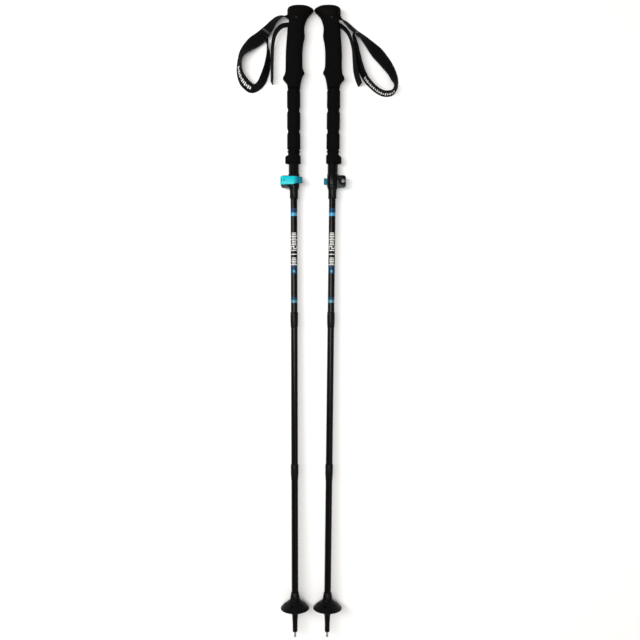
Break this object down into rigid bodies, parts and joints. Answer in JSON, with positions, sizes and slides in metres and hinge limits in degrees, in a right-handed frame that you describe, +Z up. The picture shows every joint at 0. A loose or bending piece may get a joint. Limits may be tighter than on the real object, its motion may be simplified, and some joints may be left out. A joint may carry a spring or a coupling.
{
  "type": "folding trekking poles",
  "caption": "Pair of folding trekking poles with foam grips, wrist straps, lever length clamps, cable-joined shaft sections, baskets and carbide tips.",
  "frame": {"origin": "on the surface the poles lie on, under the middle of the pair", "axes": "+Z up from the surface, +Y along the poles from their tips to their grips, +X to the right seen from above with the grips away from the viewer"},
  "size_m": [0.3266, 1.2552, 0.0568],
  "materials": {
    "grip_foam": "matte",
    "cap_rubber": "satin",
    "hook_loop": "matte",
    "webbing": "matte",
    "clamp_plastic": "satin",
    "lever_teal": "satin",
    "steel": "satin",
    "bushing_plastic": "matte",
    "shaft_black": "satin",
    "collar_black": "satin",
    "inner_tube": "satin",
    "cable": "satin",
    "tip_plastic": "satin",
    "basket_plastic": "matte",
    "carbide": "polished"
  },
  "bodies": {
    "left_grip": {"left_top_cap": "cap_rubber", "left_hand_grip": "grip_foam", "left_grip_extension": "grip_foam", "left_storage_strap": "hook_loop", "left_strap_wedge": "clamp_plastic", "left_strap_pin": "steel", "left_grip_tube": "inner_tube", "left_clamp_housing": "clamp_plastic", "left_clamp_pivot_pin": "steel"},
    "left_lever": {"left_clamp_lever": "lever_teal"},
    "left_tension_screw": {"left_clamp_screw": "steel"},
    "left_strap": {"left_wrist_strap": "webbing", "left_strap_tail": "webbing"},
    "left_upper_section": {"left_tube_bushing": "bushing_plastic", "left_upper_tube": "shaft_black", "left_upper_spigot": "inner_tube", "left_button_spring": "steel"},
    "left_button": {"left_snap_button": "steel"},
    "left_upper_link": {"left_cable_anchor": "steel", "left_upper_cable": "cable"},
    "left_mid_section": {"left_mid_collar": "collar_black", "left_mid_tube": "shaft_black", "left_lower_spigot": "inner_tube"},
    "left_lower_link": {"left_middle_cable": "cable"},
    "left_lower_section": {"left_lower_collar": "collar_black", "left_lower_tube": "shaft_black", "left_lower_cable": "cable", "left_tip_ferrule": "tip_plastic", "left_basket": "basket_plastic", "left_carbide_tip": "carbide"},
    "right_grip": {"right_top_cap": "cap_rubber", "right_hand_grip": "grip_foam", "right_grip_extension": "grip_foam", "right_storage_strap": "hook_loop", "right_strap_wedge": "clamp_plastic", "right_strap_pin": "steel", "right_grip_tube": "inner_tube", "right_clamp_housing": "clamp_plastic", "right_clamp_pivot_pin": "steel"},
    "right_lever": {"right_clamp_lever": "lever_teal"},
    "right_tension_screw": {"right_clamp_screw": "steel"},
    "right_strap": {"right_wrist_strap": "webbing", "right_strap_tail": "webbing"},
    "right_upper_section": {"right_tube_bushing": "bushing_plastic", "right_upper_tube": "shaft_black", "right_upper_spigot": "inner_tube", "right_button_spring": "steel"},
    "right_button": {"right_snap_button": "steel"},
    "right_upper_link": {"right_cable_anchor": "steel", "right_upper_cable": "cable"},
    "right_mid_section": {"right_mid_collar": "collar_black", "right_mid_tube": "shaft_black", "right_lower_spigot": "inner_tube"},
    "right_lower_link": {"right_middle_cable": "cable"},
    "right_lower_section": {"right_lower_collar": "collar_black", "right_lower_tube": "shaft_black", "right_lower_cable": "cable", "right_tip_ferrule": "tip_plastic", "right_basket": "basket_plastic", "right_carbide_tip": "carbide"}
  },
  "joints": [
    {"name": "pole_spacing", "type": "slide", "parent": "left_grip", "child": "right_grip", "axis": [1, 0, 0], "range_m": [0, 0.25]},
    {"name": "left_length_slide", "type": "slide", "parent": "left_grip", "child": "left_upper_section", "axis": [0.0031, -0.9999, 0.0102], "range_m": [-0.15, 0.05]},
    {"name": "left_lever_hinge", "type": "hinge", "parent": "left_grip", "child": "left_lever", "pos_m": [-0.06787, 0.27602, 0.0292], "axis": [0.0031, -0.9999, 0.0102], "range_deg": [0, 115]},
    {"name": "left_tension_screw_turn", "type": "hinge", "parent": "left_grip", "child": "left_tension_screw", "pos_m": [-0.06787, 0.27585, 0.0126], "axis": [0, -0.0102, -0.9999], "continuous": true},
    {"name": "left_button_push", "type": "slide", "parent": "left_upper_section", "child": "left_button", "axis": [1, 0.0031, 0], "range_m": [0, 0.0013], "stiffness_N_per_m": 600, "springref_m": -0.002},
    {"name": "left_strap_swing", "type": "hinge", "parent": "left_grip", "child": "left_strap", "pos_m": [-0.05989, 0.60293, 0.01626], "axis": [0, 0, 1], "range_deg": [-35, 5]},
    {"name": "left_upper_pull", "type": "slide", "parent": "left_upper_section", "child": "left_upper_link", "axis": [0.0031, -0.9999, 0.0102], "range_m": [0, 0.0455]},
    {"name": "left_upper_fold", "type": "hinge", "parent": "left_upper_link", "child": "left_mid_section", "pos_m": [-0.04605, 0.01611, 0.03326], "axis": [-1, -0.0031, 0], "range_deg": [0, 175]},
    {"name": "left_lower_pull", "type": "slide", "parent": "left_mid_section", "child": "left_lower_link", "axis": [0.0031, -0.9999, 0.0102], "range_m": [0, 0.0455]},
    {"name": "left_lower_fold", "type": "hinge", "parent": "left_lower_link", "child": "left_lower_section", "pos_m": [-0.0561, -0.28602, 0.02535], "axis": [0, -0.0102, -0.9999], "range_deg": [0, 175]},
    {"name": "right_length_slide", "type": "slide", "parent": "right_grip", "child": "right_upper_section", "axis": [-0.0122, -0.9999, 0.0102], "range_m": [-0.15, 0.05]},
    {"name": "right_lever_hinge", "type": "hinge", "parent": "right_grip", "child": "right_lever", "pos_m": [0.05127, 0.27561, 0.01], "axis": [-0.0122, -0.9999, 0.0102], "range_deg": [0, 115]},
    {"name": "right_tension_screw_turn", "type": "hinge", "parent": "right_grip", "child": "right_tension_screw", "pos_m": [0.05127, 0.27578, 0.0266], "axis": [0.0001, 0.0102, 0.9999], "continuous": true},
    {"name": "right_button_push", "type": "slide", "parent": "right_upper_section", "child": "right_button", "axis": [-0.9999, 0.0122, 0], "range_m": [0, 0.0013], "stiffness_N_per_m": 600, "springref_m": -0.002},
    {"name": "right_strap_swing", "type": "hinge", "parent": "right_grip", "child": "right_strap", "pos_m": [0.04627, 0.60278, 0.01626], "axis": [0, 0, 1], "range_deg": [-5, 35]},
    {"name": "right_upper_pull", "type": "slide", "parent": "right_upper_section", "child": "right_upper_link", "axis": [-0.0122, -0.9999, 0.0102], "range_m": [0, 0.0455]},
    {"name": "right_upper_fold", "type": "hinge", "parent": "right_upper_link", "child": "right_mid_section", "pos_m": [0.0271, 0.01611, 0.03326], "axis": [-0.9999, 0.0122, 0], "range_deg": [0, 175]},
    {"name": "right_lower_pull", "type": "slide", "parent": "right_mid_section", "child": "right_lower_link", "axis": [-0.0122, -0.9999, 0.0102], "range_m": [0, 0.0455]},
    {"name": "right_lower_fold", "type": "hinge", "parent": "right_lower_link", "child": "right_lower_section", "pos_m": [0.0344, -0.2861, 0.02535], "axis": [0.0001, 0.0102, 0.9999], "range_deg": [0, 175]}
  ],
  "couplings": [
    {"joint": "left_upper_pull", "follows": "left_upper_fold", "m_per_rad": 0.014733},
    {"joint": "left_lower_pull", "follows": "left_lower_fold", "m_per_rad": 0.014733},
    {"joint": "right_upper_pull", "follows": "right_upper_fold", "m_per_rad": 0.014733},
    {"joint": "right_lower_pull", "follows": "right_lower_fold", "m_per_rad": 0.014733}
  ]
}
